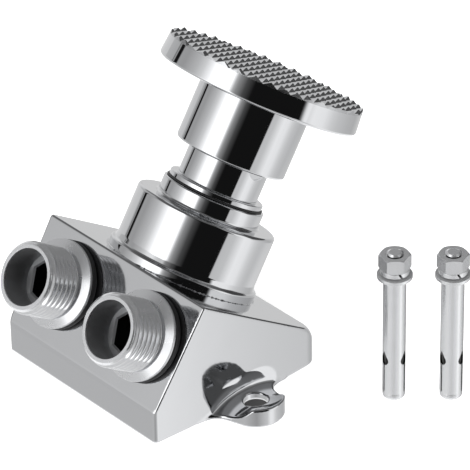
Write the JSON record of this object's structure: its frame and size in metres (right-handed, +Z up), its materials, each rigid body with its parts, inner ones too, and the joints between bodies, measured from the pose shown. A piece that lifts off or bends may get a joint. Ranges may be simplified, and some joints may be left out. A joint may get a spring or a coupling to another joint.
{
  "type": "foot pedal tap valve",
  "caption": "Chromed floor tap valve: a wedge body with threaded nipples and bolt ears, and a round toothed pedal that is pressed down along its tilted stem.",
  "frame": {"origin": "on the base plane, midway between the two ear bolt holes", "axes": "+X towards the outlet nipple, on the right when facing the front; +Y to the rear, the way the pedal leans; +Z up, along the ear bolt holes"},
  "size_m": [0.122, 0.1058, 0.0935],
  "materials": {
    "chrome_plate": "polished",
    "black_rubber": "moulded",
    "turned_brass": "turned",
    "stainless_steel": "bright drawn",
    "zinc_plate": "zinc plated"
  },
  "bodies": {
    "valve": {"valve_body": "chrome_plate", "inlet_nipple": "chrome_plate", "outlet_nipple": "chrome_plate", "inlet_seal": "black_rubber", "outlet_seal": "black_rubber", "bonnet": "chrome_plate", "bonnet_seal": "black_rubber", "guide_sleeve": "chrome_plate", "sleeve_seal": "black_rubber", "gland_bush": "turned_brass", "gland_seal": "black_rubber", "stem_seals": "black_rubber", "seat_ring": "turned_brass", "seat_seal": "black_rubber", "return_spring": "stainless_steel"},
    "spring_cup": {"spring_cup": "turned_brass"},
    "plunger": {"pedal": "chrome_plate", "stem": "stainless_steel", "lock_nut": "stainless_steel", "stem_clip": "stainless_steel", "disc_holder": "turned_brass", "valve_disc": "black_rubber", "disc_nut": "stainless_steel"},
    "anchor_a": {"anchor_bolt_a": "zinc_plate", "anchor_sleeve_a": "zinc_plate", "plain_washer_a": "zinc_plate", "spring_washer_a": "zinc_plate", "anchor_nut_a": "zinc_plate"},
    "anchor_b": {"anchor_bolt_b": "zinc_plate", "anchor_sleeve_b": "zinc_plate", "plain_washer_b": "zinc_plate", "spring_washer_b": "zinc_plate", "anchor_nut_b": "zinc_plate"}
  },
  "joints": [
    {"name": "pedal_press", "type": "slide", "parent": "valve", "child": "spring_cup", "axis": [0, -0.5446, -0.8387], "range_m": [0, 0.007], "stiffness_N_per_m": 2500, "springref_m": -0.004, "deforming": ["return_spring"]},
    {"name": "pedal_turn", "type": "hinge", "parent": "spring_cup", "child": "plunger", "pos_m": [0, 0.00548, 0.02496], "axis": [0, 0.5446, 0.8387], "continuous": true},
    {"name": "anchor_a_lift", "type": "slide", "parent": "valve", "child": "anchor_a", "axis": [0, 0, 1], "range_m": [0, 0.06]},
    {"name": "anchor_b_lift", "type": "slide", "parent": "valve", "child": "anchor_b", "axis": [0, 0, 1], "range_m": [0, 0.06]}
  ]
}
